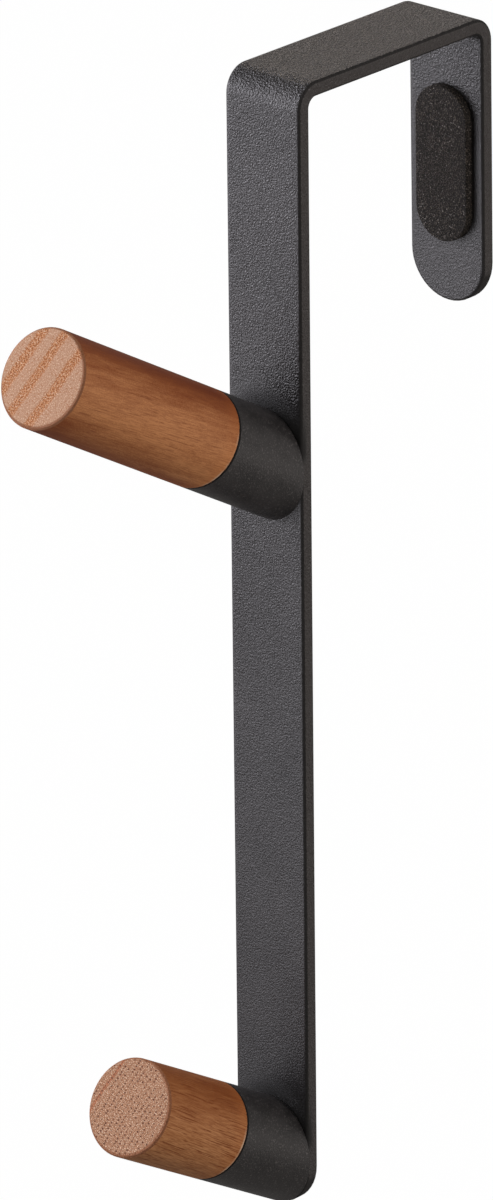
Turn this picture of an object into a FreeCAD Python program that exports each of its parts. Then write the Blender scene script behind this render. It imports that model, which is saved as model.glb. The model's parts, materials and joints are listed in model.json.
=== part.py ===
import FreeCAD, Part
import math
import os

os.makedirs("parts", exist_ok=True)

# Over door hook: a flat steel strap folded over the top of a door, with two tilted wooden
# pegs held in steel sleeves on its front leg, and a foam pad on the door side of each leg.
#
# Frame: X across the strap, Y from the room into the door, Z up. The origin is the middle of
# the bridge's underside, which sits on the top edge of the door. The pegs point to -Y.
# All sizes are in millimetres and degrees.

# Strap
strap_width = 18.0
strap_thickness = 3.0
strap_edge_round = 0.6
bend_inside_radius = 2.0
door_gap = 48.5
front_leg_drop = 224.0
back_leg_drop = 55.1
back_leg_flare = 0.55

# Pegs and sleeves
peg_diameter = 19.1
peg_tilt = 29.8
peg_end_chamfer = 0.3
upper_peg_drop = 72.5
foot_to_tip = 0.1
upper_peg_reach = 68.9
lower_peg_reach = 46.1
sleeve_length = 21.3
sleeve_wall = 1.6
joint_ease = 0.28
tenon_clearance = 0.1
tenon_foot_gap = 0.2

# Wood screws, driven through the strap from the door side
screw_shank_diameter = 4.0
screw_head_diameter = 7.6
screw_head_land = 0.3
screw_head_angle = 90.0
screw_length = 16.0
screw_point_length = 4.0
screw_hole_clearance = 0.2
pilot_clearance = 0.05
screw_sink = 0.1
recess_arm = 2.1
recess_arm_width = 1.0
recess_depth = 1.7
recess_floor_share = 0.45

# Foam pads
pad_width = 12.8
pad_height = 31.0
pad_thickness = 1.75
back_pad_to_tip = 27.8
front_pad_to_tip = 46.0

# Values that follow from the sizes above
Vector = FreeCAD.Vector
across = Vector(1, 0, 0)
into_door = Vector(0, 1, 0)
bend_outside_radius = bend_inside_radius + strap_thickness
front_leg_back = -door_gap / 2
front_leg_face = front_leg_back - strap_thickness
back_leg_face = door_gap / 2
back_leg_back = back_leg_face + strap_thickness
tilt = math.radians(peg_tilt)
peg_direction = Vector(0, -math.cos(tilt), math.sin(tilt))
peg_radius = peg_diameter / 2
bore_radius = peg_radius - sleeve_wall
tenon_radius = bore_radius - tenon_clearance
foot_half_height = peg_radius / math.cos(tilt)
foot_run = peg_radius * math.tan(tilt)
lower_peg_drop = front_leg_drop - foot_to_tip - foot_half_height
back_pad_drop = back_leg_drop - back_pad_to_tip
front_pad_drop = front_leg_drop - front_pad_to_tip
screw_shank_radius = screw_shank_diameter / 2
screw_head_radius = screw_head_diameter / 2
screw_grip = screw_length - screw_sink - strap_thickness
screw_rise = screw_grip / 2 * math.tan(tilt)
head_cone_height = (screw_head_radius - screw_shank_radius) / math.tan(math.radians(screw_head_angle / 2))


def side_point(y, z):
    """A point of the side view, in the plane through the middle of the strap."""
    return Vector(0, y, z)


def bend_arc(centre_y, radius, start, end):
    """An arc about a bend's centre line; angles in degrees from +Y towards +Z."""
    points = []
    for angle in (start, (start + end) / 2, end):
        turn = math.radians(angle)
        y = centre_y + radius * math.cos(turn)
        z = -bend_inside_radius + radius * math.sin(turn)
        points.append(side_point(y, z))
    return Part.Arc(*points).toShape()


def straight(start, end):
    """A straight edge of the side view, from one (y, z) pair to another."""
    return Part.makeLine(side_point(*start), side_point(*end))


def opened(shape):
    """A piece of the back leg, turned out of the upright by the leg's flare about the bend's centre."""
    centre = side_point(back_leg_face - bend_inside_radius, -bend_inside_radius)
    return shape.rotated(centre, across, back_leg_flare)


def strap_side_view():
    """The folded strip seen from the side, as a face one strap thickness wide all along."""
    front_centre = front_leg_back + bend_inside_radius
    back_centre = back_leg_face - bend_inside_radius
    bend_height = -bend_inside_radius
    outside = [
        straight((front_leg_face, -front_leg_drop), (front_leg_face, bend_height)),
        bend_arc(front_centre, bend_outside_radius, 180, 90),
        straight((front_centre, strap_thickness), (back_centre, strap_thickness)),
        bend_arc(back_centre, bend_outside_radius, 90, back_leg_flare),
        opened(straight((back_leg_back, bend_height), (back_leg_back, -back_leg_drop))),
    ]
    back_end = opened(straight((back_leg_back, -back_leg_drop), (back_leg_face, -back_leg_drop)))
    inside = [
        opened(straight((back_leg_face, -back_leg_drop), (back_leg_face, bend_height))),
        bend_arc(back_centre, bend_inside_radius, back_leg_flare, 90),
        straight((back_centre, 0), (front_centre, 0)),
        bend_arc(front_centre, bend_inside_radius, 90, 180),
        straight((front_leg_back, bend_height), (front_leg_back, -front_leg_drop)),
    ]
    front_end = straight((front_leg_back, -front_leg_drop), (front_leg_face, -front_leg_drop))
    return Part.Face(Part.Wire(outside + [back_end] + inside + [front_end]))


def leg_end_waste(leg_y, drop):
    """What is cut away below a leg's full-round end."""
    radius = strap_width / 2
    start = leg_y - strap_thickness
    run = 3 * strap_thickness
    blank = Part.makeBox(2 * strap_width, run, 2 * radius, Vector(-strap_width, start, -drop - radius))
    centre = Vector(0, start, -drop + radius)
    return blank.cut(Part.makeCylinder(radius, run, centre, into_door))


def outline_edges(solid):
    """Edges between the broad faces and the rim, without the seams across and through the strip."""
    found = []
    for edge in solid.Edges:
        if isinstance(edge.Curve, Part.Line):
            direction = edge.tangentAt(edge.FirstParameter)
            seam_across = abs(direction.x) > 0.99
            seam_through = abs(direction.y) > 0.99 and edge.Length < 1.01 * strap_thickness
            if seam_across or seam_through:
                continue
        found.append(edge)
    return found


def screw_height(peg_drop):
    """Height of a screw, set so that the peg's axis crosses the middle of its grip."""
    return -peg_drop + screw_rise


def screw_hole(peg_drop):
    """The countersunk hole through the front leg, open to the door side."""
    radius = screw_shank_radius + screw_hole_clearance
    mouth_radius = screw_head_radius + screw_hole_clearance
    start = Vector(0, front_leg_back, screw_height(peg_drop))
    hole = Part.makeCylinder(radius, strap_thickness, start, -into_door)
    depth = (mouth_radius - radius) / math.tan(math.radians(screw_head_angle / 2))
    land = screw_head_land + screw_sink
    mouth = Part.makeCylinder(mouth_radius, land, start, -into_door)
    cone = Part.makeCone(mouth_radius, radius, depth, start - into_door * land, -into_door)
    return hole.fuse([mouth, cone])


def make_strap():
    """The whole strap: one strip with two bends, round ends, eased edges and two screw holes."""
    strip = strap_side_view().extrude(across * strap_width)
    strip.translate(across * (-strap_width / 2))
    strip = strip.cut(leg_end_waste(front_leg_face, front_leg_drop))
    strip = strip.cut(opened(leg_end_waste(back_leg_face, back_leg_drop)))
    strip = strip.makeFillet(strap_edge_round, outline_edges(strip))
    return strip.cut([screw_hole(upper_peg_drop), screw_hole(lower_peg_drop)])


def peg_foot(peg_drop):
    """Where a peg's axis meets the front leg's face."""
    return Vector(0, front_leg_face, -peg_drop)


def peg_cylinder(peg_drop, radius, start, end):
    """A cylinder on a peg's axis, between two distances from its foot."""
    base = peg_foot(peg_drop) + peg_direction * start
    return Part.makeCylinder(radius, end - start, base, peg_direction)


def behind_plane(y, peg_drop):
    """A block that holds everything of one peg that lies behind a plane parallel to the strap."""
    side = 4 * peg_diameter
    corner = Vector(-side / 2, y, -peg_drop - side / 2)
    return Part.makeBox(side, side, side, corner)


def edges_near(solid, point, radius):
    """The round edges of one radius about a point of the peg's axis."""
    found = []
    for edge in solid.Edges:
        if isinstance(edge.Curve, Part.Circle):
            centred = edge.Curve.Center.distanceToPoint(point) < 0.01
            if centred and abs(edge.Curve.Radius - radius) < 0.01:
                found.append(edge)
    return found


def make_sleeve(peg_drop):
    """A stub of tube, mitred to stand on the strap's face at the peg's tilt."""
    outer = peg_cylinder(peg_drop, peg_radius, -2 * foot_run, sleeve_length)
    rim_centre = peg_foot(peg_drop) + peg_direction * sleeve_length
    outer = outer.makeChamfer(joint_ease, edges_near(outer, rim_centre, peg_radius))
    bore = peg_cylinder(peg_drop, bore_radius, -3 * foot_run, sleeve_length + sleeve_wall)
    return outer.cut([bore, behind_plane(front_leg_face, peg_drop)])


def make_peg(peg_drop, reach):
    """A turned peg: a head flush with the sleeve, and a tenon that fills the sleeve's bore."""
    head = peg_cylinder(peg_drop, peg_radius, sleeve_length, reach)
    foot = peg_foot(peg_drop)
    head = head.makeChamfer(peg_end_chamfer, edges_near(head, foot + peg_direction * reach, peg_radius))
    shoulder = edges_near(head, foot + peg_direction * sleeve_length, peg_radius)
    head = head.makeChamfer(joint_ease, shoulder)
    tenon = peg_cylinder(peg_drop, tenon_radius, -2 * foot_run, sleeve_length + sleeve_wall)
    tenon = tenon.cut(behind_plane(front_leg_face - tenon_foot_gap, peg_drop))
    pilot_start = Vector(0, front_leg_back, screw_height(peg_drop))
    pilot_radius = screw_shank_radius + pilot_clearance
    pilot = Part.makeCylinder(pilot_radius, screw_length, pilot_start, -into_door)
    return head.fuse(tenon).removeSplitter().cut(pilot)


def cross_outline(arm, half_width, y):
    """A plus sign about the Y axis, as a closed wire at one depth."""
    corners = [
        (arm, half_width), (half_width, half_width), (half_width, arm),
        (-half_width, arm), (-half_width, half_width), (-arm, half_width),
        (-arm, -half_width), (-half_width, -half_width), (-half_width, -arm),
        (half_width, -arm), (half_width, -half_width), (arm, -half_width),
    ]
    points = [Vector(x, y, z) for x, z in corners]
    return Part.makePolygon(points + points[:1])


def make_screw(peg_drop):
    """A countersunk wood screw with a cross recess, its head just below the strap's back face."""
    head_base = -screw_head_land
    cone_base = head_base - head_cone_height
    profile = [
        Vector(0, 0, 0),
        Vector(screw_head_radius, 0, 0),
        Vector(screw_head_radius, head_base, 0),
        Vector(screw_shank_radius, cone_base, 0),
        Vector(screw_shank_radius, -screw_length + screw_point_length, 0),
        Vector(0, -screw_length, 0),
    ]
    half = Part.Face(Part.makePolygon(profile + profile[:1]))
    body = half.revolve(Vector(0, 0, 0), into_door, 360)
    half_width = recess_arm_width / 2
    mouth = cross_outline(recess_arm, half_width, 0)
    floor = cross_outline(recess_arm * recess_floor_share, half_width * recess_floor_share, -recess_depth)
    screw = body.cut(Part.makeLoft([mouth, floor], True, True))
    screw.translate(Vector(0, front_leg_back - screw_sink, screw_height(peg_drop)))
    return screw


def make_pad(face_y, direction, drop):
    """A foam pad with round ends, stuck to a leg's face and standing out along one direction."""
    radius = pad_width / 2
    run = pad_height / 2 - radius
    back_y = min(face_y, face_y + direction * pad_thickness)
    upper = Vector(0, back_y, -drop + run)
    lower = Vector(0, back_y, -drop - run)
    middle = Part.makeBox(pad_width, pad_thickness, 2 * run, lower - across * radius)
    ends = [Part.makeCylinder(radius, pad_thickness, centre, into_door) for centre in (upper, lower)]
    return middle.fuse(ends).removeSplitter()


def make_parts():
    """Every piece of the hook, by the name of its node."""
    return {
        "strap": make_strap(),
        "upper_sleeve": make_sleeve(upper_peg_drop),
        "lower_sleeve": make_sleeve(lower_peg_drop),
        "upper_peg": make_peg(upper_peg_drop, upper_peg_reach),
        "lower_peg": make_peg(lower_peg_drop, lower_peg_reach),
        "upper_screw": make_screw(upper_peg_drop),
        "lower_screw": make_screw(lower_peg_drop),
        "back_pad": opened(make_pad(back_leg_face, -1, back_pad_drop)),
        "front_pad": make_pad(front_leg_back, 1, front_pad_drop),
    }


for name, shape in make_parts().items():
    shape.exportStep(f"parts/{name}.step")
    box = shape.BoundBox
    print(f"{name}: {len(shape.Solids)} solid, {shape.Volume / 1000:.2f} cm3, valid {shape.isValid()}, "
          f"X {box.XMin:.1f} to {box.XMax:.1f}, Y {box.YMin:.1f} to {box.YMax:.1f}, "
          f"Z {box.ZMin:.1f} to {box.ZMax:.1f}")
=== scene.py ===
"""Looks of the over door hook: its finishes, its foam pads, and the studio and camera around it."""

import json
import logging
import math
from dataclasses import dataclass
from enum import Enum

import bmesh
import bpy
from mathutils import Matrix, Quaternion, Vector, noise


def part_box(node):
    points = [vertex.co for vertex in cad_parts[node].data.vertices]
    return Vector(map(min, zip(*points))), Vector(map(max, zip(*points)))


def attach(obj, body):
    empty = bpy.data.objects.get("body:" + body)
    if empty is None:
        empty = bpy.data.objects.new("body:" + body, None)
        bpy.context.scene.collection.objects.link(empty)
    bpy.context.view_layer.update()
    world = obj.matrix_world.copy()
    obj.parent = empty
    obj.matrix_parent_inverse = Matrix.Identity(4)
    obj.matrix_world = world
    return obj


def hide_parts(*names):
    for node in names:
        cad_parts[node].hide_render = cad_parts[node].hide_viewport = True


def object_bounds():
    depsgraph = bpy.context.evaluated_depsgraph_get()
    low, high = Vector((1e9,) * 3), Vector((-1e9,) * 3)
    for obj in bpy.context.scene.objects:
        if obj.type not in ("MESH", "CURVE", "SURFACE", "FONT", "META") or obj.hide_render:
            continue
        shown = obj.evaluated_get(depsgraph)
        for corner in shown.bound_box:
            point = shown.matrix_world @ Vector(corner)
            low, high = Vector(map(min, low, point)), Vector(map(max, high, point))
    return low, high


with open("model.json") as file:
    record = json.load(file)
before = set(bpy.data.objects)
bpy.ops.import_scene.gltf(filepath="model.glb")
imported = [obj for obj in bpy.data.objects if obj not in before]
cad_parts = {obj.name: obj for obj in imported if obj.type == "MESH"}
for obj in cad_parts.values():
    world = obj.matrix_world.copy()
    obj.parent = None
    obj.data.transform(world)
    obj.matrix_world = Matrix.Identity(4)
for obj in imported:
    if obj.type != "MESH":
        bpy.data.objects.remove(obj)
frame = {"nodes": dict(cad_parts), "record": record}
cad_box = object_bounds()

log = logging.getLogger("over_door_hook")

Colour = tuple[float, float, float]
Range = tuple[float, float]
Socket = bpy.types.NodeSocket

MM = 0.001
ROOT = "root"
ACROSS = Vector((1.0, 0.0, 0.0))
UPWARD = Vector((0.0, 0.0, 1.0))
INWARD = Vector((0.0, 1.0, 0.0))
WHITE: Colour = (1.0, 1.0, 1.0)
COOL_LIGHT: Colour = (0.96, 0.94, 1.02)


class Level(Enum):
    """The two peg sets, by the word that their nodes and mounts start with."""

    UPPER = "upper"
    LOWER = "lower"


class Shape(Enum):
    """How a mask rises between its two ends."""

    STRAIGHT = "LINEAR"
    SOFT = "SMOOTHSTEP"


class Pores(Enum):
    """How the pores lie in a peg's end face: their scatter, and where a pore ends and wood starts."""

    BANDS = (0.90, 0.26, 0.38)
    ROWS = (0.40, 0.17, 0.32)


def opaque(colour: Colour) -> tuple[float, float, float, float]:
    """The same colour with full alpha."""
    return (*colour, 1.0)


def direction_from(azimuth: float, elevation: float) -> Vector:
    """The direction from the hook towards a viewer.

    Args:
        azimuth: degrees round the hook; 0 stands in front of it, and 90 to its right.
        elevation: degrees above the horizon.

    Returns:
        A direction of length 1.
    """
    turn, lift = math.radians(azimuth), math.radians(elevation)
    level = math.cos(lift)
    return Vector((math.sin(turn) * level, -math.cos(turn) * level, math.sin(lift)))


def dress(node: str, material: bpy.types.Material) -> None:
    """Gives a node of the frame its finish.

    Args:
        node: the node's name.
        material: the finish.
    """
    slots = frame["nodes"][node].data.materials
    slots.clear()
    slots.append(material)
    log.info("%s wears %s", node, material.name)


@dataclass(frozen=True)
class Mount:
    """A mount of the record: its place, the way it faces, and the length of a pin."""

    point: Vector
    direction: Vector
    length: float

    @classmethod
    def named(cls, name: str) -> "Mount":
        """Reads a mount from the record.

        Args:
            name: the mount's name.

        Returns:
            The mount; a flat face has the length 0.
        """
        entry = next(mount for mount in frame["record"]["mounts"] if mount["name"] == name)
        length = entry["dims"].get("length_mm", 0.0) * MM
        return cls(Vector(entry["pos_m"]), Vector(entry["axis"]).normalized(), length)


class Graph:
    """A material's node tree, with one short method for each kind of node that a finish uses."""

    def __init__(self, name: str) -> None:
        """Starts a material that holds one shader and its output.

        Args:
            name: the material's name.
        """
        self.material = bpy.data.materials.new(name)
        self.material.use_nodes = True
        self.tree = self.material.node_tree
        self.tree.nodes.clear()
        output = self.tree.nodes.new("ShaderNodeOutputMaterial")
        self.shader = self.tree.nodes.new("ShaderNodeBsdfPrincipled")
        self.tree.links.new(self.shader.outputs["BSDF"], output.inputs["Surface"])

    def add(self, kind: str, values: dict[str | int, object], **settings: object) -> bpy.types.Node:
        """Adds a node and fills its sockets.

        Args:
            kind: the node's type name.
            values: for each input, a socket to link or a value to set.
            settings: the node's own properties.

        Returns:
            The new node.
        """
        node = self.tree.nodes.new(kind)
        for key, value in settings.items():
            setattr(node, key, value)
        for key, value in values.items():
            if isinstance(value, Socket):
                self.tree.links.new(value, node.inputs[key])
            else:
                node.inputs[key].default_value = value
        return node

    def place(self) -> Socket:
        """The point's place in the frame, in metres."""
        return self.add("ShaderNodeTexCoord", {}).outputs["Object"]

    def facing(self) -> Socket:
        """The surface's direction in the frame."""
        return self.add("ShaderNodeTexCoord", {}).outputs["Normal"]

    def part(self, vector: Socket, direction: Vector) -> Socket:
        """How far a vector reaches along a direction."""
        node = self.add("ShaderNodeVectorMath", {0: vector, 1: direction}, operation="DOT_PRODUCT")
        return node.outputs["Value"]

    def away(self, place: Socket, point: Vector) -> Socket:
        """The vector from a fixed point to a place."""
        node = self.add("ShaderNodeVectorMath", {0: place, 1: point}, operation="SUBTRACT")
        return node.outputs["Vector"]

    def length(self, vector: Socket) -> Socket:
        """A vector's length."""
        return self.add("ShaderNodeVectorMath", {0: vector}, operation="LENGTH").outputs["Value"]

    def joined(self, x: Socket | float, y: Socket | float, z: Socket | float) -> Socket:
        """A vector from three numbers."""
        return self.add("ShaderNodeCombineXYZ", {0: x, 1: y, 2: z}).outputs[0]

    def calc(self, operation: str, a: Socket | float, b: Socket | float = 0.0) -> Socket:
        """One sum of two numbers.

        Args:
            operation: the sum's name, such as "MAXIMUM".
            a: the first number.
            b: the second number.

        Returns:
            The result.
        """
        return self.add("ShaderNodeMath", {0: a, 1: b}, operation=operation).outputs[0]

    def plus(self, a: Socket | float, b: Socket | float) -> Socket:
        """Two numbers added."""
        return self.calc("ADD", a, b)

    def minus(self, a: Socket | float, b: Socket | float) -> Socket:
        """The first number less the second."""
        return self.calc("SUBTRACT", a, b)

    def times(self, a: Socket | float, b: Socket | float) -> Socket:
        """Two numbers multiplied."""
        return self.calc("MULTIPLY", a, b)

    def size(self, a: Socket) -> Socket:
        """A number without its sign."""
        return self.calc("ABSOLUTE", a)

    def cloud(self, vector: Socket, size: float, detail: float = 2.0, roughness: float = 0.5) -> Socket:
        """Soft noise.

        Args:
            vector: where it is read.
            size: how far apart its lumps are, in the vector's unit.
            detail: how many finer layers it has.
            roughness: how strong they are.

        Returns:
            A number from about 0 to 1.
        """
        values = {"Vector": vector, "Scale": 1.0 / size, "Detail": detail, "Roughness": roughness}
        return self.add("ShaderNodeTexNoise", values).outputs[0]

    def cells(self, vector: Socket, size: float, scatter: float = 1.0, dimensions: str = "3D") -> Socket:
        """Cells about scattered points.

        Args:
            vector: where they are read.
            size: how far apart the points are, in the vector's unit.
            scatter: from 0, a grid, to 1, at random.
            dimensions: "3D" in space, "2D" on a plane.

        Returns:
            The distance to the nearest point, 1 for one size.
        """
        values = {"Vector": vector, "Scale": 1.0 / size, "Randomness": scatter}
        return self.add("ShaderNodeTexVoronoi", values, voronoi_dimensions=dimensions).outputs["Distance"]

    def rise(self, value: Socket, start: float, end: float, low: float = 0.0, high: float = 1.0,
             shape: Shape = Shape.SOFT) -> Socket:
        """A value carried from one range to another, and held at its ends.

        Args:
            value: the number that drives it.
            start: where the rise starts.
            end: where it ends.
            low: the result at the start.
            high: the result at the end.
            shape: how it rises.

        Returns:
            The result.
        """
        values = {"Value": value, "From Min": start, "From Max": end, "To Min": low, "To Max": high}
        return self.add("ShaderNodeMapRange", values, interpolation_type=shape.value).outputs[0]

    def mixed(self, share: Socket | float, a: Socket | Colour, b: Socket | Colour) -> Socket:
        """A colour between two others.

        Args:
            share: 0 for the first, 1 for the second.
            a: the first colour.
            b: the second colour.

        Returns:
            The colour.
        """
        first = a if isinstance(a, Socket) else opaque(a)
        second = b if isinstance(b, Socket) else opaque(b)
        return self.add("ShaderNodeMix", {0: share, 6: first, 7: second}, data_type="RGBA").outputs[2]

    def relief(self, height: Socket, depth: float, below: Socket | None = None) -> Socket:
        """A surface direction bent by a fine relief.

        Args:
            height: the relief, from 0 to 1.
            depth: its height in metres.
            below: a coarser relief that this one lies on.

        Returns:
            The direction.
        """
        values = {"Height": height, "Distance": depth, "Strength": 1.0}
        if below is not None:
            values["Normal"] = below
        return self.add("ShaderNodeBump", values).outputs[0]

    def finish(self, **sockets: Socket | float | Colour) -> bpy.types.Material:
        """Sets the shader's sockets.

        Args:
            sockets: for each socket, its name with underscores for spaces, and a socket or value.

        Returns:
            The finished material.
        """
        for key, value in sockets.items():
            socket = self.shader.inputs[key.replace("_", " ")]
            if isinstance(value, Socket):
                self.tree.links.new(value, socket)
            elif isinstance(value, tuple):
                socket.default_value = opaque(value)
            else:
                socket.default_value = value
        return self.material


@dataclass(frozen=True)
class TexturedCoat:
    """Charcoal powder coat with a fine pebbled skin, smoother along the strip's long arrises.

    Each skin is a share of the pebbles' depth: past the long edges, added on the flanks and on the
    bridge, in the corners over the stubs, from low to high on the legs, and on the back leg. Each
    turn is how far the surface faces that way, from 0 to 1.
    """

    name: str = "textured_coat"
    dark: Colour = (0.010, 0.009, 0.009)
    light: Colour = (0.026, 0.024, 0.024)
    # painted shade tone for the corners over the stubs and the rounded long arrises
    painted_shade_tone: Colour = (0.006, 0.0055, 0.005)
    flank: Colour = (0.029, 0.025, 0.0235)
    pebble_size: float = 0.35 * MM
    pebble_depth: float = 0.080 * MM
    pebble_slope: Range = (0.32, 0.68)
    fine_size: float = 0.20 * MM
    fine_depth: float = 0.045 * MM
    patch_size: float = 14 * MM
    tone_shares: Range = (0.6, 0.4)
    tone_slope: Range = (0.35, 0.65)
    half_width: float = 9.0 * MM
    edge_reach: Range = (1.1 * MM, 0.5 * MM)
    edge_skin: float = 0.45
    flank_turn: Range = (0.90, 0.99)
    flank_skin: float = 0.75
    top_turn: Range = (0.10, 0.95)
    top_skin: float = 2.4
    arris_turn: Range = (0.15, 0.45)
    arris_end: Range = (0.995, 0.95)
    arris_share: float = 0.85
    leg_span: Range = (-200 * MM, -50 * MM)
    leg_skin: Range = (0.52, 1.10)
    back_span: Range = (0.0, 20 * MM)
    back_fall: Range = (-8 * MM, -28 * MM)
    back_skin: float = 0.60
    corner_reach: float = 7.5 * MM
    corner_depth: Range = (0.8 * MM, 2.0 * MM)
    corner_rise: float = 4 * MM
    corner_skin: float = 0.30
    roughness: Range = (0.30, 0.50)
    roughness_slope: Range = (0.3, 0.7)
    dull: float = 0.80

    def build(self) -> bpy.types.Material:
        """Makes the material."""
        g = Graph(self.name)
        place = g.place()
        pebbles = g.cloud(place, self.pebble_size, detail=1.5, roughness=0.45)
        fine = g.cloud(place, self.fine_size, detail=1.0)
        patches = g.cloud(place, self.patch_size)
        way = g.facing()
        sideways = g.size(g.part(way, ACROSS))
        arris = g.times(g.rise(sideways, *self.arris_turn), g.rise(sideways, *self.arris_end))
        corner = self.corner(g, place)

        side = g.rise(sideways, *self.flank_turn, 0.0, self.flank_skin)
        top = g.rise(g.part(way, UPWARD), *self.top_turn, 0.0, self.top_skin)
        skin = g.plus(g.plus(self.skin(g, place), side), top)
        skin = g.times(skin, g.rise(corner, 0.0, 1.0, 1.0, self.corner_skin))
        lumps = g.times(g.rise(pebbles, *self.pebble_slope, shape=Shape.STRAIGHT), skin)
        normal = g.relief(fine, self.fine_depth, g.relief(lumps, self.pebble_depth))

        tone = g.plus(g.times(pebbles, self.tone_shares[0]), g.times(patches, self.tone_shares[1]))
        colour = g.mixed(g.rise(tone, *self.tone_slope), self.dark, self.light)
        colour = g.mixed(g.rise(sideways, *self.flank_turn), colour, self.flank)
        # Painted shade: the corner over each stub and the rounded long arrises are darkened towards a
        # near-black tone, and dulled.
        painted_shade_share = g.calc("MAXIMUM", corner, g.times(arris, self.arris_share))
        colour = g.mixed(painted_shade_share, colour, self.painted_shade_tone)
        rough = g.rise(fine, *self.roughness_slope, *self.roughness)
        rough = g.calc("MAXIMUM", rough, g.times(g.calc("MAXIMUM", corner, arris), self.dull))
        return g.finish(Base_Color=colour, Roughness=rough, Normal=normal)

    def skin(self, g: Graph, place: Socket) -> Socket:
        """How coarse the coat lies: finer past the edges, low on the front leg and on the back leg.

        Args:
            g: the graph.
            place: the point's place in the frame.

        Returns:
            A share of the pebbles' depth.
        """
        outer, inner = self.edge_reach
        off_centre = g.size(g.part(place, ACROSS))
        edge = g.rise(off_centre, self.half_width - outer, self.half_width - inner, 1.0, self.edge_skin)
        height = g.part(place, UPWARD)
        behind = g.times(g.rise(g.part(place, INWARD), *self.back_span), g.rise(height, *self.back_fall))
        leg = g.times(g.rise(height, *self.leg_span, *self.leg_skin),
                      g.rise(behind, 0.0, 1.0, 1.0, self.back_skin))
        return g.times(edge, leg)

    def corner(self, g: Graph, place: Socket) -> Socket:
        """The closed corner over each stub, which gets painted shade and where the coat lies dull and smooth.

        Args:
            g: the graph.
            place: the point's place in the frame.

        Returns:
            1 at the stub's root, falling to 0 at corner_reach above it.
        """
        strap_low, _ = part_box("strap")
        share: Socket | float = 0.0
        for level in Level:
            peg = Mount.named(f"{level.value}_peg")
            root = peg.point + peg.direction * ((strap_low.y - peg.point.y) / peg.direction.y)
            from_root = g.away(place, root)
            height = g.part(from_root, UPWARD)
            beside = g.size(g.part(from_root, ACROSS))
            radius = g.length(g.joined(beside, g.times(height, abs(peg.direction.y)), 0.0))
            _, stub_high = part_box(f"{level.value}_sleeve")
            near = g.rise(radius, stub_high.x, stub_high.x + self.corner_reach, 1.0, 0.0)
            near = g.times(near, g.rise(g.part(from_root, INWARD), *self.corner_depth, 1.0, 0.0))
            share = g.calc("MAXIMUM", share, g.times(near, g.rise(height, 0.0, self.corner_rise)))
        return share


@dataclass(frozen=True)
class SatinCoat:
    """Smooth satin black coat of a tube stub, with a painted shadow line in the joint at its mouth."""

    name: str
    mouth: Vector
    axis: Vector
    dark: Colour
    light: Colour
    # painted shadow in the joint at the stub's mouth
    joint_shadow: Colour = (0.0035, 0.0030, 0.0028)
    joint_span: Range = (-0.42 * MM, -0.26 * MM)
    joint_roughness: float = 0.9
    dust: Colour = (0.085, 0.080, 0.078)
    dust_size: float = 0.34 * MM
    dust_slope: Range = (0.58, 0.70)
    dust_share: float = 0.9
    mottle_size: float = 4.0 * MM
    mottle_slope: Range = (0.35, 0.65)
    grain_size: float = 0.30 * MM
    grain_depth: float = 0.080 * MM
    roughness: Range = (0.40, 0.50)
    roughness_slope: Range = (0.3, 0.7)

    def build(self) -> bpy.types.Material:
        """Makes the material."""
        g = Graph(self.name)
        place = g.place()
        joint = g.rise(g.part(g.away(place, self.mouth), self.axis), *self.joint_span)
        mottle = g.cloud(place, self.mottle_size, detail=3.0)
        grain = g.cloud(place, self.grain_size)
        dust = g.cloud(place, self.dust_size, detail=1.0)
        colour = g.mixed(g.rise(mottle, *self.mottle_slope), self.dark, self.light)
        colour = g.mixed(g.rise(dust, *self.dust_slope, 0.0, self.dust_share), colour, self.dust)
        # Painted shadow: the stub's rim at the mouth is darkened where the gap to the peg lies.
        colour = g.mixed(joint, colour, self.joint_shadow)
        rough = g.rise(mottle, *self.roughness_slope, *self.roughness)
        rough = g.calc("MAXIMUM", rough, g.times(joint, self.joint_roughness))
        return g.finish(Base_Color=colour, Roughness=rough, Normal=g.relief(grain, self.grain_depth))


@dataclass(frozen=True)
class WoodFigure:
    """How one peg was cut: the turn, spacing and pores of its growth rings, and its tones.

    ring_turn is the angle of the ring lines in the end face, from the upright towards +X, and
    lit_turn the angle below +X of the side that painted light makes palest. lit_twist leans that
    side as it runs to the tip, and grain_slope leans the long grain. fleck_whole is how dark a
    fleck stays between its dashes, and tip_shade how much darker the barrel ends.
    """

    pores: Pores
    bands: tuple[float, ...]
    row_spacing: float
    pore_band: float
    pore_size: float
    seam: float
    end_lumps: float
    end_pale: Colour
    end_band: Colour
    end_pore: Colour
    side_dark: Colour
    side_mid: Colour
    side_light: Colour
    lit_side_contrast: float
    line_share: float
    fibre_share: float
    grit_share: float
    fleck_share: float
    fleck_slender: float
    fleck_start: float
    fleck_whole: float
    tip_shade: float
    lit_turn: float
    lit_twist: float
    ring_turn: float
    grain_slope: float


@dataclass(frozen=True)
class Streak:
    """One kind of line in the long grain.

    It is width wide and slender times as long, with detail finer layers of the strength roughness.
    """

    width: float
    slender: float
    detail: float
    roughness: float = 0.55


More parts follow.
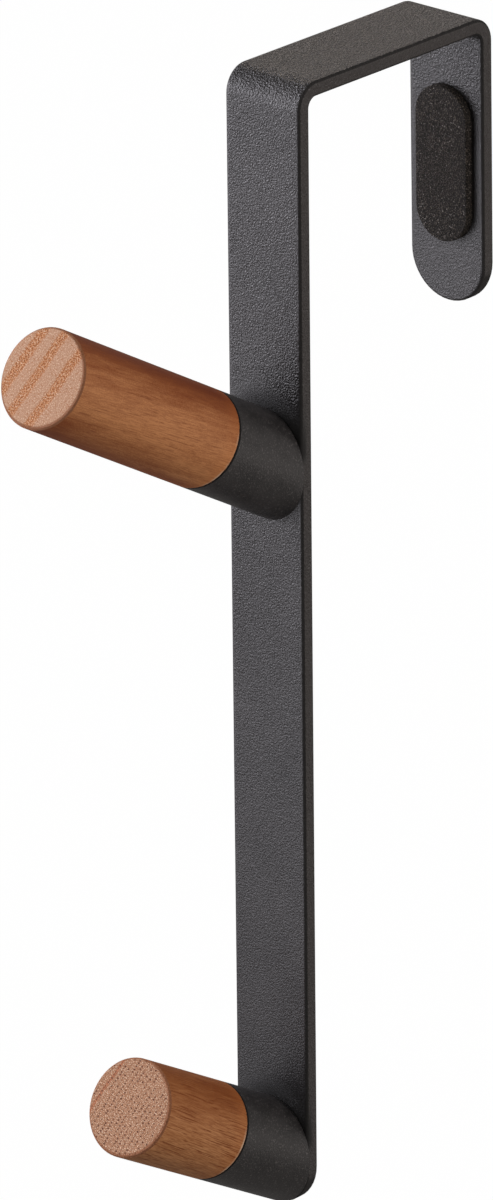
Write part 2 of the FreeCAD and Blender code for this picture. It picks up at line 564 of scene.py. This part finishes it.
@dataclass(frozen=True)
class StainedWood:
    """Stained hardwood, with long grain round the peg and open end grain on its face.

    foot is the middle of the bare barrel, axis runs to the tip, and reach is half the barrel's
    length. Places in the shoulder are measured from the gap at the stub's mouth.
    """

    name: str
    figure: WoodFigure
    foot: Vector
    axis: Vector
    reach: float
    joint_gap: float
    relief_depth: float = 0.03 * MM
    barrel_roughness: float = 0.60
    end_roughness: float = 0.80
    sheen: float = 0.2
    wander_size: float = 12 * MM
    wander: float = 1.6 * MM

    end_turn: Range = (0.35, 0.62)
    rim: Colour = (0.24, 0.090, 0.038)
    rim_start: float = 8.85 * MM
    rim_width: float = 0.40 * MM
    rim_share: float = 0.85
    sanded_off: Range = (-0.20 * MM, 0.15 * MM)
    raw_edge: Colour = (0.50, 0.27, 0.14)
    speck: Colour = (0.70, 0.51, 0.36)
    speck_size: float = 0.22 * MM
    speck_slope: Range = (0.54, 0.66)
    speck_height: float = 1.2
    lump_size: float = 0.40 * MM
    lump_slope: Range = (0.50, 0.68)
    band_share: float = 0.75
    band_edge: Range = (0.6, 1.3)
    pore_depth: float = 2.0
    seam_colour: Colour = (0.37, 0.125, 0.055)
    seam_reach: Range = (0.15 * MM, 0.42 * MM)
    seam_share: float = 0.7

    broad: Streak = Streak(width=2.6 * MM, slender=7.0, detail=2.0)
    lines: Streak = Streak(width=0.45 * MM, slender=30.0, detail=2.0)
    fibres: Streak = Streak(width=0.19 * MM, slender=14.0, detail=1.0)
    dashes: Streak = Streak(width=0.30 * MM, slender=5.0, detail=1.0)
    grit: Streak = Streak(width=0.24 * MM, slender=1.2, detail=2.0)
    fleck_width: float = 0.26 * MM
    fleck_ramp: float = 0.08
    dash_slope: Range = (0.38, 0.54)
    fibre_slope: Range = (0.42, 0.62)
    fibre_height: float = 0.5
    broad_share: float = 0.75
    lit_side_span: Range = (1.5 * MM, 9.5 * MM)
    tip_reach: float = 14 * MM
    hidden_span: Range = (-1 * MM, -9 * MM)
    hidden_lift: float = 12.8 * MM

    glow: Colour = (0.50, 0.165, 0.040)
    glow_reach: float = 5 * MM
    glow_share: float = 0.22
    # Painted highlight: a pale, patchy line along the barrel's arris at the stub's mouth, stronger on the
    # lower side.
    edge_highlight: Colour = (0.62, 0.42, 0.28)
    edge_highlight_start: Range = (0.24 * MM, 0.32 * MM)
    edge_highlight_end: Range = (0.50 * MM, 0.80 * MM)
    edge_highlight_size: float = 3.5 * MM
    edge_highlight_slope: Range = (0.36, 0.60)
    edge_highlight_shares: Range = (0.1, 0.95)
    edge_highlight_height: Range = (4.0 * MM, -1.0 * MM)
    # Painted shadow: the barrel's edge in the gap at the stub's mouth.
    joint_shadow: Colour = (0.020, 0.014, 0.010)
    joint_shadow_span: Range = (0.18 * MM, 0.28 * MM)
    joint_shadow_share: float = 0.95

    def build(self) -> bpy.types.Material:
        """Makes the material."""
        g = Graph(self.name)
        fig = self.figure
        upright = self.axis.cross(ACROSS).normalized()
        if upright.z < 0:
            upright = -upright
        turn = math.radians(fig.ring_turn)
        ring_line = ACROSS * math.sin(turn) + upright * math.cos(turn)
        ring_normal = ACROSS * math.cos(turn) - upright * math.sin(turn)
        start = g.away(g.place(), self.foot)
        across = g.part(start, ring_normal)
        wander = g.times(g.cloud(start, self.wander_size, detail=1.0), self.wander)
        depth = g.plus(across, g.minus(wander, self.wander / 2))
        side = g.part(start, ring_line)
        along = g.part(start, self.axis)
        height = g.part(start, upright)

        leaning = g.plus(depth, g.times(along, -fig.grain_slope * math.sin(turn)))
        rising = g.plus(side, g.times(along, fig.grain_slope * math.cos(turn)))
        lit_side = self.lit_side(g, start, upright, along, height)
        barrel_colour, barrel_relief = self.long_grain(g, leaning, rising, along, lit_side)
        end_colour, end_relief = self.end_grain(g, depth, side)

        facing = g.part(g.facing(), self.axis)
        on_end = g.rise(facing, *self.end_turn)
        off_across, off_up = self.sanded_off
        centre = ACROSS * off_across + upright * off_up
        radius = g.length(g.joined(g.minus(across, centre.dot(ring_normal)),
                                   g.minus(side, centre.dot(ring_line)), 0.0))
        edge = g.rise(radius, self.rim_start, self.rim_start + self.rim_width, 0.0, self.rim_share)
        colour = g.mixed(on_end, barrel_colour, g.mixed(edge, end_colour, self.rim))
        tenon_turn, tenon_end = self.end_turn
        colour = g.mixed(g.rise(facing, -tenon_turn, -tenon_end), colour, self.raw_edge)
        from_gap = g.plus(along, self.reach + self.joint_gap)
        colour = self.shoulder(g, from_gap, start, height, colour)
        relief = g.add("ShaderNodeMix", {0: on_end, 2: barrel_relief, 3: end_relief}).outputs[0]
        rough = g.rise(on_end, 0.0, 1.0, self.barrel_roughness, self.end_roughness)
        return g.finish(Base_Color=colour, Roughness=rough, Normal=g.relief(relief, self.relief_depth),
                        Specular_IOR_Level=self.sheen)

    def lit_side(self, g: Graph, start: Socket, upright: Vector, along: Socket, height: Socket) -> Socket:
        """How far a point lies towards the side of the peg that is painted as lit and palest.

        Args:
            g: the graph.
            start: the point's place from the barrel's middle.
            upright: the direction square to the peg and to the strap's width.
            along: the place along the peg.
            height: the place along upright.

        Returns:
            The distance in metres, raised on the side towards -X so that this side is painted as pale.
        """
        turn = math.radians(self.figure.lit_turn)
        lit_way = ACROSS * math.cos(turn) - upright * math.sin(turn)
        twist = g.times(along, self.figure.lit_twist / self.reach)
        lit_side = g.plus(g.part(start, lit_way), g.times(height, twist))
        hidden = g.rise(g.part(start, ACROSS), *self.hidden_span, 0.0, self.hidden_lift)
        return g.plus(lit_side, hidden)

    def shoulder(self, g: Graph, from_gap: Socket, start: Socket, height: Socket,
                 colour: Socket) -> Socket:
        """The barrel's edge at the stub's mouth: a painted shadow in the gap, a painted highlight along the
        arris and a redder tone near the mouth.

        Args:
            g: the graph.
            from_gap: the distance from the gap along the peg.
            start: the point's place from the barrel's middle.
            height: how far it lies above the peg's axis.
            colour: the barrel's colour.

        Returns:
            The colour.
        """
        colour = g.mixed(g.rise(from_gap, 0.0, self.glow_reach, self.glow_share, 0.0), colour, self.glow)
        # Painted highlight along the rounded arris, in patches and mostly on the lower side.
        highlit = g.times(g.rise(from_gap, *self.edge_highlight_start), g.rise(from_gap, *self.edge_highlight_end, 1.0, 0.0))
        patches = g.rise(g.cloud(start, self.edge_highlight_size), *self.edge_highlight_slope, *self.edge_highlight_shares)
        highlit = g.times(g.times(highlit, patches), g.rise(height, *self.edge_highlight_height))
        colour = g.mixed(highlit, colour, self.edge_highlight)
        # Painted shadow where the barrel meets the gap.
        return g.mixed(g.rise(from_gap, *self.joint_shadow_span, self.joint_shadow_share, 0.0), colour, self.joint_shadow)

    def long_grain(self, g: Graph, depth: Socket, side: Socket, along: Socket,
                   lit_side: Socket) -> tuple[Socket, Socket]:
        """The grain that runs along the peg.

        Args:
            g: the graph.
            depth: the place across the growth rings.
            side: the place along the ring lines of the end face.
            along: the place along the peg.
            lit_side: the place towards the side of the peg that is painted as lit.

        Returns:
            The colour and the relief.
        """
        fig = self.figure
        fleck_line = Streak(self.fleck_width, fig.fleck_slender, detail=1.0)
        broad, lines, fibres, flecks, dashes, grit = (
            self.drawn_out(g, streak, depth, side, along)
            for streak in (self.broad, self.lines, self.fibres, fleck_line, self.dashes, self.grit))
        # Painted light and shade: the barrel is paler towards its lit side and darker on the far side.
        tone = g.rise(lit_side, *self.lit_side_span, 0.5 - fig.lit_side_contrast, 0.5 + fig.lit_side_contrast, Shape.STRAIGHT)
        for streak, share in ((broad, self.broad_share), (lines, fig.line_share), (grit, fig.grit_share)):
            tone = g.plus(tone, g.times(g.minus(streak, 0.5), share))
        tone = g.minus(tone, g.rise(along, self.reach - self.tip_reach, self.reach, 0.0, fig.tip_shade))
        colour = g.mixed(g.rise(tone, 0.0, 0.5, shape=Shape.STRAIGHT), fig.side_dark, fig.side_mid)
        colour = g.mixed(g.rise(tone, 0.5, 1.0, shape=Shape.STRAIGHT), colour, fig.side_light)
        colour = g.mixed(g.rise(fibres, *self.fibre_slope, 0.0, fig.fibre_share), colour, fig.side_dark)
        fleck_end = fig.fleck_start + self.fleck_ramp
        fleck = g.times(g.rise(flecks, fig.fleck_start, fleck_end, 0.0, fig.fleck_share),
                        g.rise(dashes, *self.dash_slope, fig.fleck_whole, 1.0))
        colour = g.mixed(fleck, colour, fig.side_dark)
        return colour, g.minus(g.times(fibres, self.fibre_height), fleck)

    def drawn_out(self, g: Graph, streak: Streak, depth: Socket, side: Socket, along: Socket) -> Socket:
        """Noise drawn out along the peg.

        Args:
            g: the graph.
            streak: the kind of line.
            depth: the place across the growth rings.
            side: the place along the ring lines of the end face.
            along: the place along the peg.

        Returns:
            A number from about 0 to 1.
        """
        place = g.joined(depth, side, g.times(along, 1.0 / streak.slender))
        return g.cloud(place, streak.width, streak.detail, streak.roughness)

    def end_grain(self, g: Graph, depth: Socket, side: Socket) -> tuple[Socket, Socket]:
        """The cut end of the grain, with its bands or rows of pores.

        Args:
            g: the graph.
            depth: the place across the growth rings.
            side: the place along the ring lines.

        Returns:
            The colour and the relief.
        """
        fig = self.figure
        flat = g.joined(depth, side, 0.0)
        if fig.pores is Pores.BANDS:
            lattice = flat
            away = g.size(g.minus(depth, fig.bands[0]))
            for centre in fig.bands[1:]:
                away = g.calc("MINIMUM", away, g.size(g.minus(depth, centre)))
        else:
            lattice = g.joined(g.times(depth, fig.pore_size / fig.row_spacing), side, 0.0)
            away = g.calc("PINGPONG", g.plus(depth, fig.row_spacing / 2), fig.row_spacing / 2)
        band_start, band_end = (fig.pore_band / 2 * share for share in self.band_edge)
        band = g.rise(away, band_start, band_end, 1.0, 0.0)
        scatter, pore_edge, pore_end = fig.pores.value
        dots = g.rise(g.cells(lattice, fig.pore_size, scatter, "2D"), pore_edge, pore_end, 1.0, 0.0)
        pore = g.times(band, dots)
        specks = g.cloud(flat, self.speck_size, detail=1.0)
        lumps = g.cloud(flat, self.lump_size, detail=1.0)
        colour = g.mixed(g.times(band, self.band_share), fig.end_pale, fig.end_band)
        colour = g.mixed(g.rise(lumps, *self.lump_slope, 0.0, fig.end_lumps), colour, fig.end_pore)
        colour = g.mixed(g.rise(specks, *self.speck_slope), colour, self.speck)
        seam = g.rise(g.size(g.minus(depth, fig.seam)), *self.seam_reach, self.seam_share, 0.0)
        colour = g.mixed(seam, colour, self.seam_colour)
        colour = g.mixed(pore, colour, fig.end_pore)
        return colour, g.minus(g.times(specks, self.speck_height), g.times(pore, self.pore_depth))


@dataclass(frozen=True)
class ScrewSteel:
    """Plated steel of the countersunk screws, hazed and with a fine grain."""

    name: str = "screw_steel"
    base: Colour = (0.42, 0.41, 0.40)
    stain: Colour = (0.26, 0.25, 0.24)
    haze_size: float = 1.2 * MM
    haze_slope: Range = (0.4, 0.7)
    grain_size: float = 0.12 * MM
    grain_depth: float = 0.006 * MM
    roughness: Range = (0.28, 0.42)
    roughness_slope: Range = (0.3, 0.7)

    def build(self) -> bpy.types.Material:
        """Makes the material."""
        g = Graph(self.name)
        place = g.place()
        haze = g.cloud(place, self.haze_size, detail=3.0)
        grain = g.cloud(place, self.grain_size)
        colour = g.mixed(g.rise(haze, *self.haze_slope), self.base, self.stain)
        rough = g.rise(haze, *self.roughness_slope, *self.roughness)
        normal = g.relief(grain, self.grain_depth)
        return g.finish(Base_Color=colour, Roughness=rough, Normal=normal, Metallic=1.0)


@dataclass(frozen=True)
class PadFoam:
    """Brown-black cellular foam, with open cells cut through at the surface."""

    name: str = "pad_foam"
    dark: Colour = (0.0080, 0.0068, 0.0058)
    light: Colour = (0.080, 0.067, 0.054)
    speck: Colour = (0.200, 0.180, 0.165)
    cell_size: float = 0.36 * MM
    cell_depth: float = 0.14 * MM
    wall_slope: Range = (0.2, 0.8)
    grit_size: float = 0.20 * MM
    grit_slope: Range = (0.47, 0.64)
    grit_shares: Range = (0.05, 1.0)
    grit_height: float = 0.6
    speck_size: float = 0.34 * MM
    speck_slope: Range = (0.66, 0.74)
    speck_share: float = 0.8
    roughness: float = 0.85
    sheen: float = 0.2

    def build(self) -> bpy.types.Material:
        """Makes the material."""
        g = Graph(self.name)
        place = g.place()
        walls = g.cells(place, self.cell_size)
        grit = g.cloud(place, self.grit_size)
        tone = g.times(g.rise(walls, *self.wall_slope), g.rise(grit, *self.grit_slope, *self.grit_shares))
        colour = g.mixed(tone, self.dark, self.light)
        specks = g.cloud(place, self.speck_size, detail=1.0)
        colour = g.mixed(g.rise(specks, *self.speck_slope, 0.0, self.speck_share), colour, self.speck)
        normal = g.relief(g.plus(walls, g.times(grit, self.grit_height)), self.cell_depth)
        return g.finish(Base_Color=colour, Roughness=self.roughness, Normal=normal,
                        Specular_IOR_Level=self.sheen)


@dataclass
class Strap:
    """The folded steel strap."""

    coat: TexturedCoat

    def build(self) -> None:
        """Dresses the strap."""
        dress("strap", self.coat.build())


@dataclass
class PegSet:
    """One tilted peg with the tube stub that holds it and the screw that fastens it."""

    level: Level
    figure: WoodFigure
    coat_dark: Colour
    coat_light: Colour
    joint_gap: float = 0.28 * MM

    def build(self, steel: bpy.types.Material) -> None:
        """Dresses the stub, the peg and the screw.

        Args:
            steel: the screw's finish.
        """
        name = self.level.value
        barrel = Mount.named(f"{name}_peg")
        reach = barrel.length / 2
        mouth = barrel.point - barrel.direction * (reach + self.joint_gap)
        coat = SatinCoat(f"{name}_satin_coat", mouth, barrel.direction, self.coat_dark, self.coat_light)
        wood = StainedWood(f"{name}_peg_wood", self.figure, barrel.point, barrel.direction, reach,
                           self.joint_gap)
        dress(f"{name}_sleeve", coat.build())
        dress(f"{name}_peg", wood.build())
        dress(f"{name}_screw", steel)


@dataclass
class FoamPad:
    """A die-cut foam pad with round ends, stuck to the door side of a leg."""

    node: str
    around: int = 300
    rows: int = 26
    wall_rows: int = 5
    rim_rows: int = 3
    edge_round: float = 0.35 * MM
    crown: float = 0.10 * MM
    crown_power: int = 4
    ragged: float = 0.05 * MM
    stuck_height: float = 0.3 * MM
    pit_size: float = 0.75 * MM
    pit_depth: float = 0.07 * MM
    pit_reach: float = 0.55
    pit_shift: float = 3.7
    grit_pitch: float = 2.3
    grit_depth: float = 0.02 * MM
    weld: float = 0.002 * MM
    sliver: float = 0.001 * MM

    def outline(self, share: float, radius: float, run: float) -> tuple[float, float, float]:
        """A point of the pad's outline, and its outward direction there.

        Args:
            share: how far round the outline, from 0 to 1.
            radius: the round ends' radius.
            run: half the distance between their centres.

        Returns:
            The centre line's place beside the point, and the direction across and along the pad.
        """
        straight = 2 * run
        arc = math.pi * radius
        walk = share * 2 * (straight + arc)
        if walk < straight:
            return -run + walk, 1.0, 0.0
        if walk < straight + arc:
            angle = (walk - straight) / radius
            return run, math.cos(angle), math.sin(angle)
        if walk < 2 * straight + arc:
            return run - (walk - straight - arc), -1.0, 0.0
        angle = math.pi + (walk - 2 * straight - arc) / radius
        return -run, math.cos(angle), math.sin(angle)

    def section(self, radius: float, thickness: float) -> list[tuple[float, float]]:
        """The pad's half section, from the stuck edge up the wall and over to the middle.

        Args:
            radius: the outline's distance from the centre line.
            thickness: the pad's thickness.

        Returns:
            Pairs of distance from the centre line and height above the leg.
        """
        points = [(radius, 0.0)]
        wall = thickness - self.crown - self.edge_round
        for row in range(1, self.wall_rows + 1):
            points.append((radius, wall * row / self.wall_rows))
        corner = radius - self.edge_round
        for row in range(1, self.rim_rows + 1):
            angle = math.radians(90 / self.rim_rows * row)
            points.append((corner + self.edge_round * math.cos(angle),
                           wall + self.edge_round * math.sin(angle)))
        for row in range(1, self.rows + 1):
            share = 1 - row / self.rows
            crowned = self.crown * (1 - share ** self.crown_power)
            points.append((corner * share, wall + self.edge_round + crowned))
        return points

    def build(self, foam: bpy.types.Material) -> bpy.types.Object:
        """Models the pad in the space of its solid.

        Args:
            foam: its finish.

        Returns:
            The pad.
        """
        face = Mount.named(f"{self.node}_face")
        outward = face.direction
        along = outward.cross(ACROSS)
        width, length, thickness = self.sizes(along)
        radius = width / 2 - self.ragged
        run = length / 2 - self.ragged - radius
        seat = face.point - outward * thickness
        section = self.section(radius, thickness)
        vertices = []
        for out, height in section:
            for step in range(self.around):
                centre, turn_across, turn_along = self.outline(step / self.around, radius, run)
                lateral = ACROSS * turn_across + along * turn_along
                point = lateral * out + along * centre + outward * height
                shift = self.cell_shift(point) * min(1.0, height / self.stuck_height)
                side = lateral if out >= radius - self.edge_round else outward
                vertices.append(seat + point - side * shift)
        faces = []
        for row in range(len(section) - 1):
            for step in range(self.around):
                a = row * self.around + step
                b = row * self.around + (step + 1) % self.around
                faces.append((a, b, b + self.around, a + self.around))
        faces.append(tuple(range(self.around - 1, -1, -1)))
        mesh = bpy.data.meshes.new(f"{self.node}_foam")
        mesh.from_pydata(vertices, [], faces)
        mesh.materials.append(foam)
        pad = bpy.data.objects.new(f"{self.node}_foam", mesh)
        bpy.context.scene.collection.objects.link(pad)
        self.close(pad)
        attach(pad, ROOT)
        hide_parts(self.node)
        log.info("%s stands for %s", pad.name, self.node)
        return pad

    def sizes(self, along: Vector) -> tuple[float, float, float]:
        """The pad's own width, length and thickness, from the box of its solid.

        Args:
            along: the pad's lengthwise direction, upright or nearly so.

        Returns:
            The three sizes.
        """
        low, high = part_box(self.node)
        reach = high - low
        upright, lean = abs(along.z), abs(along.y)
        share = upright ** 2 - lean ** 2
        length = (reach.z * upright - reach.y * lean) / share
        thickness = (reach.y * upright - reach.z * lean) / share
        return reach.x, length, thickness

    def cell_shift(self, point: Vector) -> float:
        """How deep the cut cells lie below the skin at a point."""
        start = point / self.pit_size + ACROSS * (len(self.node) * self.pit_shift)
        near = noise.voronoi(start)[0][0]
        grit = noise.noise(start * self.grit_pitch)
        pit = self.pit_depth * max(0.0, self.pit_reach - near) / self.pit_reach
        return pit + self.grit_depth * (grit + 1)

    def close(self, pad: bpy.types.Object) -> None:
        """Joins the points that meet on the centre line, and makes the faces look outward and smooth."""
        work = bmesh.new()
        work.from_mesh(pad.data)
        bmesh.ops.remove_doubles(work, verts=work.verts, dist=self.weld)
        bmesh.ops.dissolve_degenerate(work, edges=work.edges, dist=self.sliver)
        bmesh.ops.recalc_face_normals(work, faces=work.faces)
        for face in work.faces:
            face.smooth = True
        work.to_mesh(pad.data)
        work.free()


@dataclass(frozen=True)
class Softbox:
    """A flat lamp that looks at the hook, with its place round it and its size in metres."""

    name: str
    azimuth: float
    elevation: float
    radiance: float
    distance: float = 0.6
    side: float = 0.3
    colour: Colour = COOL_LIGHT

    def build(self, aim: Vector) -> None:
        """Adds the lamp.

        Args:
            aim: the point that it looks at.
        """
        lamp = bpy.data.lights.new(self.name, "AREA")
        lamp.shape = "RECTANGLE"
        lamp.size = lamp.size_y = self.side
        lamp.energy = self.radiance * math.pi * self.side * self.side
        lamp.color = self.colour
        holder = bpy.data.objects.new(self.name, lamp)
        back = direction_from(self.azimuth, self.elevation)
        holder.location = aim + back * self.distance
        holder.rotation_mode = "QUATERNION"
        holder.rotation_quaternion = (-back).to_track_quat("-Z", "Y")
        holder.visible_camera = False
        bpy.context.scene.collection.objects.link(holder)


@dataclass
class Studio:
    """The pale room: floor, world, lamps and camera."""

    azimuth: float = 41.89
    elevation: float = 22.23
    roll: float = -0.63
    lens: float = 275.37
    sensor: float = 36.0
    distance: float = 1.7066
    clip: Range = (0.1, 100.0)
    aim: Vector = Vector((0.0, -0.0329, -0.0981))
    lamp_aim: Vector = Vector((0.0, -0.03, -0.08))
    floor_drop: float = 6.0
    floor_size: float = 120.0
    floor_colour: Colour = (0.8, 0.79, 0.78)
    floor_glow: float = 1.02
    floor_white: float = 0.97
    ambient: float = 0.26
    ambient_colour: Colour = (1.0, 0.95, 0.92)

    def build(self) -> None:
        """Sets up the room and the camera."""
        self.build_floor()
        self.build_world()
        for lamp in self.lamps():
            lamp.build(self.lamp_aim)
        self.build_camera()
        log.info("studio and camera stand")

    def lamps(self) -> list[Softbox]:
        """The lamps: a cool bank in front, and warm ones to the right, behind and above."""
        return [
            Softbox("key_high", azimuth=-52.0, elevation=35.0, radiance=5.3),
            Softbox("key_middle", azimuth=-52.0, elevation=10.0, radiance=4.6),
            Softbox("key_low", azimuth=-52.0, elevation=-15.0, radiance=2.0),
            Softbox("key_left", azimuth=-75.0, elevation=10.0, radiance=6.2),
            Softbox("key_front", azimuth=-30.0, elevation=-15.0, radiance=3.1),
            Softbox("right_lamp", azimuth=100.0, elevation=20.0, radiance=8.8, distance=1.0, side=0.4,
                    colour=(1.0, 0.93, 0.90)),
            Softbox("rear_lamp", azimuth=138.0, elevation=-22.0, radiance=1.0, distance=1.0, side=0.45,
                    colour=(1.0, 0.92, 0.88)),
            Softbox("high_lamp", azimuth=-138.0, elevation=22.0, radiance=5.1, distance=1.2, side=0.25,
                    colour=(1.0, 0.87, 0.77)),
        ]

    def build_floor(self) -> None:
        """A pale floor well below the hook, shown white but holding its shadow."""
        low, _ = cad_box
        half = self.floor_size / 2
        height = low.z - self.floor_drop
        mesh = bpy.data.meshes.new("floor")
        corners = [(-half, -half, height), (half, -half, height), (half, half, height), (-half, half, height)]
        mesh.from_pydata(corners, [], [(0, 1, 2, 3)])
        material = bpy.data.materials.new("pale_floor")
        material.use_nodes = True
        tree = material.node_tree
        tree.nodes.clear()
        output = tree.nodes.new("ShaderNodeOutputMaterial")
        chalk = tree.nodes.new("ShaderNodeBsdfDiffuse")
        chalk.inputs["Color"].default_value = opaque(self.floor_colour)
        glow = tree.nodes.new("ShaderNodeEmission")
        glow.inputs["Color"].default_value = opaque(WHITE)
        glow.inputs["Strength"].default_value = self.floor_glow
        rays = tree.nodes.new("ShaderNodeLightPath")
        seen = tree.nodes.new("ShaderNodeMath")
        seen.operation = "MULTIPLY"
        seen.inputs[1].default_value = self.floor_white
        tree.links.new(rays.outputs["Is Camera Ray"], seen.inputs[0])
        mix = tree.nodes.new("ShaderNodeMixShader")
        sources = (seen.outputs[0], chalk.outputs[0], glow.outputs[0])
        for number, socket in enumerate(sources):
            tree.links.new(socket, mix.inputs[number])
        tree.links.new(mix.outputs[0], output.inputs["Surface"])
        mesh.materials.append(material)
        floor = bpy.data.objects.new("floor", mesh)
        bpy.context.scene.collection.objects.link(floor)

    def build_world(self) -> None:
        """Even light from all round, which the camera sees as white."""
        world = bpy.data.worlds.new("pale_room")
        bpy.context.scene.world = world
        world.use_nodes = True
        tree = world.node_tree
        tree.nodes.clear()
        output = tree.nodes.new("ShaderNodeOutputWorld")
        ambient = tree.nodes.new("ShaderNodeBackground")
        ambient.inputs["Color"].default_value = opaque(self.ambient_colour)
        ambient.inputs["Strength"].default_value = self.ambient
        white = tree.nodes.new("ShaderNodeBackground")
        white.inputs["Color"].default_value = opaque(WHITE)
        white.inputs["Strength"].default_value = 1.0
        rays = tree.nodes.new("ShaderNodeLightPath")
        mix = tree.nodes.new("ShaderNodeMixShader")
        sources = (rays.outputs["Is Camera Ray"], ambient.outputs[0], white.outputs[0])
        for number, socket in enumerate(sources):
            tree.links.new(socket, mix.inputs[number])
        tree.links.new(mix.outputs[0], output.inputs["Surface"])

    def build_camera(self) -> None:
        """The camera at the photograph's angle."""
        data = bpy.data.cameras.new("camera")
        data.lens = self.lens
        data.sensor_width = self.sensor
        data.clip_start, data.clip_end = self.clip
        camera = bpy.data.objects.new("camera", data)
        back = direction_from(self.azimuth, self.elevation)
        camera.location = self.aim + back * self.distance
        camera.rotation_mode = "QUATERNION"
        level = (-back).to_track_quat("-Z", "Y")
        camera.rotation_quaternion = level @ Quaternion(UPWARD, math.radians(self.roll))
        bpy.context.scene.collection.objects.link(camera)
        bpy.context.scene.camera = camera


UPPER_FIGURE = WoodFigure(
    pores=Pores.BANDS,
    bands=(-6.15 * MM, -1.6 * MM, 3.60 * MM),
    row_spacing=0.0,
    pore_band=2.1 * MM,
    pore_size=0.38 * MM,
    seam=-30 * MM,
    end_lumps=0.55,
    end_pale=(0.480, 0.272, 0.165),
    end_band=(0.57, 0.255, 0.105),
    end_pore=(0.36, 0.115, 0.030),
    side_dark=(0.170, 0.037, 0.011),
    side_mid=(0.283, 0.086, 0.026),
    side_light=(0.555, 0.242, 0.094),
    lit_side_contrast=0.44,
    line_share=0.30,
    fibre_share=0.26,
    grit_share=0.60,
    fleck_share=0.42,
    fleck_slender=40.0,
    fleck_start=0.59,
    fleck_whole=0.35,
    tip_shade=0.11,
    lit_turn=14.0,
    lit_twist=0.17,
    ring_turn=22.0,
    grain_slope=0.05,
)

LOWER_FIGURE = WoodFigure(
    pores=Pores.ROWS,
    bands=(),
    row_spacing=1.10 * MM,
    pore_band=0.62 * MM,
    pore_size=0.67 * MM,
    seam=-7.3 * MM,
    end_lumps=0.15,
    end_pale=(0.345, 0.170, 0.091),
    end_band=(0.35, 0.170, 0.090),
    end_pore=(0.135, 0.052, 0.029),
    side_dark=(0.215, 0.056, 0.011),
    side_mid=(0.395, 0.157, 0.053),
    side_light=(0.560, 0.262, 0.108),
    lit_side_contrast=0.34,
    line_share=0.66,
    fibre_share=0.44,
    grit_share=0.38,
    fleck_share=0.95,
    fleck_slender=70.0,
    fleck_start=0.58,
    fleck_whole=0.75,
    tip_shade=0.0,
    lit_turn=34.0,
    lit_twist=0.0,
    ring_turn=17.5,
    grain_slope=-0.055,
)


def main() -> None:
    """Dresses the hook from the strap out, then sets up the room."""
    Strap(TexturedCoat()).build()
    # Painted light and shade: both stubs wear the same satin coat, set lighter on the upper stub and darker
    # on the lower one.
    upper = PegSet(Level.UPPER, UPPER_FIGURE, coat_dark=(0.0200, 0.0188, 0.0188),
                   coat_light=(0.0300, 0.0280, 0.0280))
    lower = PegSet(Level.LOWER, LOWER_FIGURE, coat_dark=(0.0155, 0.0147, 0.0147),
                   coat_light=(0.0230, 0.0215, 0.0215))
    plated = ScrewSteel().build()
    for peg_set in (upper, lower):
        peg_set.build(plated)
    foam = PadFoam().build()
    for node in ("back_pad", "front_pad"):
        FoamPad(node).build(foam)
    Studio().build()
    bpy.context.scene.view_settings.view_transform = "Standard"


if __name__ == "__main__":
    logging.basicConfig(level=logging.INFO)
    main()
